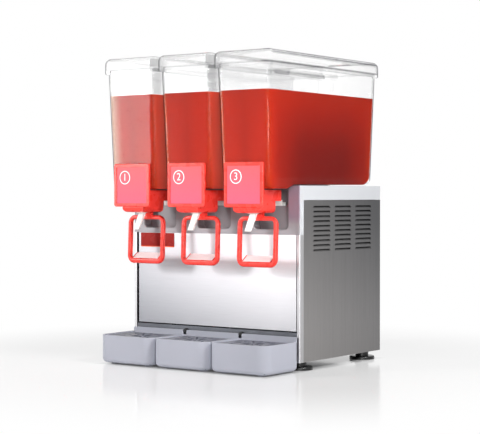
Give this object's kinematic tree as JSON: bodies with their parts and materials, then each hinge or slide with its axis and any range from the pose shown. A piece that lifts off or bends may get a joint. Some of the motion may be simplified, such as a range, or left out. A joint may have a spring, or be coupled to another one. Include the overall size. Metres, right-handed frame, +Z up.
{
  "type": "refrigerated cold drink dispenser",
  "caption": "Counter-top cold drink dispenser with clear lift-off bowls, push-lever taps, drip trays and a metal cabinet that hides the refrigeration.",
  "frame": {"origin": "on the counter under the middle of the whole machine's box", "axes": "+X to the right of a person facing the taps, -Y towards that person, +Z up"},
  "size_m": [0.4302, 0.435, 0.64],
  "materials": {
    "clear_bowl": "clear gloss",
    "clear_lid": "clear gloss",
    "red_tap": "gloss",
    "red_cover": "gloss",
    "white_spout": "gloss",
    "red_lever": "gloss",
    "pale_pad": "gloss",
    "valve_plastic": "satin",
    "stirrer_plastic": "gloss",
    "magnet_steel": "matte",
    "tray_plastic": "satin",
    "grid_plastic": "satin",
    "deck_metal": "satin",
    "post_steel": "brushed",
    "front_steel": "brushed",
    "plate_red": "gloss",
    "side_steel": "brushed",
    "rear_steel": "brushed",
    "pan_steel": "galvanised",
    "foot_rubber": "matte",
    "peg_plastic": "matte",
    "catch_plastic": "satin",
    "cold_steel": "polished",
    "gasket_rubber": "matte",
    "motor_metal": "cast",
    "compressor_paint": "satin",
    "fin_aluminium": "bright",
    "shroud_steel": "galvanised",
    "fan_plastic": "matte",
    "fan_motor_metal": "cast",
    "switch_black": "gloss",
    "switch_green": "gloss",
    "thermostat_plastic": "matte",
    "knob_plastic": "satin",
    "inlet_plastic": "matte"
  },
  "bodies": {
    "cabinet": {"top_deck": "deck_metal", "front_posts": "post_steel", "front_panel": "front_steel", "name_plate": "plate_red", "side_panel_left": "side_steel", "side_panel_right": "side_steel", "rear_panel": "rear_steel", "base_pan": "pan_steel", "rubber_feet": "foot_rubber", "tray_pegs": "peg_plastic", "bowl_catches": "catch_plastic", "cooling_plates": "cold_steel", "bowl_gaskets": "gasket_rubber", "stirrer_motors": "motor_metal", "compressor": "compressor_paint", "condenser": "fin_aluminium", "fan_shroud": "shroud_steel", "fan_motor": "fan_motor_metal", "switch_housing": "switch_black", "thermostat_body": "thermostat_plastic", "power_inlet": "inlet_plastic"},
    "bowl_left": {"bowl_left": "clear_bowl", "tap_body_left": "red_tap", "tap_cover_left": "red_cover", "spout_left": "white_spout"},
    "lid_left": {"lid_left": "clear_lid"},
    "lever_left": {"lever_left": "red_lever", "push_pad_left": "pale_pad"},
    "valve_piston_left": {"valve_piston_left": "valve_plastic"},
    "magnet_rotor_left": {"magnet_rotor_left": "magnet_steel"},
    "impeller_left": {"impeller_left": "stirrer_plastic"},
    "drip_tray_left": {"drip_tray_left": "tray_plastic"},
    "drip_grid_left": {"drip_grid_left": "grid_plastic"},
    "bowl_centre": {"bowl_centre": "clear_bowl", "tap_body_centre": "red_tap", "tap_cover_centre": "red_cover", "spout_centre": "white_spout"},
    "lid_centre": {"lid_centre": "clear_lid"},
    "lever_centre": {"lever_centre": "red_lever", "push_pad_centre": "pale_pad"},
    "valve_piston_centre": {"valve_piston_centre": "valve_plastic"},
    "magnet_rotor_centre": {"magnet_rotor_centre": "magnet_steel"},
    "impeller_centre": {"impeller_centre": "stirrer_plastic"},
    "drip_tray_centre": {"drip_tray_centre": "tray_plastic"},
    "drip_grid_centre": {"drip_grid_centre": "grid_plastic"},
    "bowl_right": {"bowl_right": "clear_bowl", "tap_body_right": "red_tap", "tap_cover_right": "red_cover", "spout_right": "white_spout"},
    "lid_right": {"lid_right": "clear_lid"},
    "lever_right": {"lever_right": "red_lever", "push_pad_right": "pale_pad"},
    "valve_piston_right": {"valve_piston_right": "valve_plastic"},
    "magnet_rotor_right": {"magnet_rotor_right": "magnet_steel"},
    "impeller_right": {"impeller_right": "stirrer_plastic"},
    "drip_tray_right": {"drip_tray_right": "tray_plastic"},
    "drip_grid_right": {"drip_grid_right": "grid_plastic"},
    "fan": {"fan": "fan_plastic"},
    "main_switch": {"main_switch": "switch_green"},
    "thermostat_knob": {"thermostat_knob": "knob_plastic"}
  },
  "joints": [
    {"name": "bowl_lift_left", "type": "slide", "parent": "cabinet", "child": "bowl_left", "axis": [0, 0, 1], "range_m": [0, 0.06]},
    {"name": "lid_lift_left", "type": "slide", "parent": "bowl_left", "child": "lid_left", "axis": [0, 0, 1], "range_m": [0, 0.05]},
    {"name": "lever_push_left", "type": "hinge", "parent": "bowl_left", "child": "lever_left", "pos_m": [-0.1434, -0.14097, 0.331], "axis": [1, 0, 0], "range_deg": [0, 12], "stiffness_Nm_per_rad": 0.8, "springref_deg": -11.46},
    {"name": "valve_slide_left", "type": "slide", "parent": "bowl_left", "child": "valve_piston_left", "axis": [0, 0, -1], "range_m": [0, 0.0038]},
    {"name": "rotor_spin_left", "type": "hinge", "parent": "cabinet", "child": "magnet_rotor_left", "pos_m": [-0.1434, 0.0215, 0.37], "axis": [0, 0, 1], "continuous": true},
    {"name": "impeller_spin_left", "type": "hinge", "parent": "cabinet", "child": "impeller_left", "pos_m": [-0.1434, 0.0215, 0.4], "axis": [0, 0, 1], "continuous": true},
    {"name": "tray_pull_left", "type": "slide", "parent": "cabinet", "child": "drip_tray_left", "axis": [0, -1, 0], "range_m": [0, 0.1]},
    {"name": "grid_lift_left", "type": "slide", "parent": "drip_tray_left", "child": "drip_grid_left", "axis": [0, 0, 1], "range_m": [0, 0.03]},
    {"name": "bowl_lift_centre", "type": "slide", "parent": "cabinet", "child": "bowl_centre", "axis": [0, 0, 1], "range_m": [0, 0.06]},
    {"name": "lid_lift_centre", "type": "slide", "parent": "bowl_centre", "child": "lid_centre", "axis": [0, 0, 1], "range_m": [0, 0.05]},
    {"name": "lever_push_centre", "type": "hinge", "parent": "bowl_centre", "child": "lever_centre", "pos_m": [0, -0.14097, 0.331], "axis": [1, 0, 0], "range_deg": [0, 12], "stiffness_Nm_per_rad": 0.8, "springref_deg": -11.46},
    {"name": "valve_slide_centre", "type": "slide", "parent": "bowl_centre", "child": "valve_piston_centre", "axis": [0, 0, -1], "range_m": [0, 0.0038]},
    {"name": "rotor_spin_centre", "type": "hinge", "parent": "cabinet", "child": "magnet_rotor_centre", "pos_m": [0, 0.0215, 0.37], "axis": [0, 0, 1], "continuous": true},
    {"name": "impeller_spin_centre", "type": "hinge", "parent": "cabinet", "child": "impeller_centre", "pos_m": [0, 0.0215, 0.4], "axis": [0, 0, 1], "continuous": true},
    {"name": "tray_pull_centre", "type": "slide", "parent": "cabinet", "child": "drip_tray_centre", "axis": [0, -1, 0], "range_m": [0, 0.1]},
    {"name": "grid_lift_centre", "type": "slide", "parent": "drip_tray_centre", "child": "drip_grid_centre", "axis": [0, 0, 1], "range_m": [0, 0.03]},
    {"name": "bowl_lift_right", "type": "slide", "parent": "cabinet", "child": "bowl_right", "axis": [0, 0, 1], "range_m": [0, 0.06]},
    {"name": "lid_lift_right", "type": "slide", "parent": "bowl_right", "child": "lid_right", "axis": [0, 0, 1], "range_m": [0, 0.05]},
    {"name": "lever_push_right", "type": "hinge", "parent": "bowl_right", "child": "lever_right", "pos_m": [0.1434, -0.14097, 0.331], "axis": [1, 0, 0], "range_deg": [0, 12], "stiffness_Nm_per_rad": 0.8, "springref_deg": -11.46},
    {"name": "valve_slide_right", "type": "slide", "parent": "bowl_right", "child": "valve_piston_right", "axis": [0, 0, -1], "range_m": [0, 0.0038]},
    {"name": "rotor_spin_right", "type": "hinge", "parent": "cabinet", "child": "magnet_rotor_right", "pos_m": [0.1434, 0.0215, 0.37], "axis": [0, 0, 1], "continuous": true},
    {"name": "impeller_spin_right", "type": "hinge", "parent": "cabinet", "child": "impeller_right", "pos_m": [0.1434, 0.0215, 0.4], "axis": [0, 0, 1], "continuous": true},
    {"name": "tray_pull_right", "type": "slide", "parent": "cabinet", "child": "drip_tray_right", "axis": [0, -1, 0], "range_m": [0, 0.1]},
    {"name": "grid_lift_right", "type": "slide", "parent": "drip_tray_right", "child": "drip_grid_right", "axis": [0, 0, 1], "range_m": [0, 0.03]},
    {"name": "fan_spin", "type": "hinge", "parent": "cabinet", "child": "fan", "pos_m": [0.084, 0.1333, 0.0985], "axis": [0, 1, 0], "continuous": true},
    {"name": "main_switch_rock", "type": "hinge", "parent": "cabinet", "child": "main_switch", "pos_m": [-0.141, 0.1965, 0.25], "axis": [1, 0, 0], "range_deg": [-20, 0]},
    {"name": "thermostat_turn", "type": "hinge", "parent": "cabinet", "child": "thermostat_knob", "pos_m": [-0.095, 0.2005, 0.25], "axis": [0, -1, 0], "range_deg": [0, 270]}
  ],
  "couplings": [
    {"joint": "valve_slide_left", "follows": "lever_push_left", "m_per_rad": 0.018},
    {"joint": "impeller_spin_left", "follows": "rotor_spin_left", "ratio": 1},
    {"joint": "valve_slide_centre", "follows": "lever_push_centre", "m_per_rad": 0.018},
    {"joint": "impeller_spin_centre", "follows": "rotor_spin_centre", "ratio": 1},
    {"joint": "valve_slide_right", "follows": "lever_push_right", "m_per_rad": 0.018},
    {"joint": "impeller_spin_right", "follows": "rotor_spin_right", "ratio": 1}
  ]
}
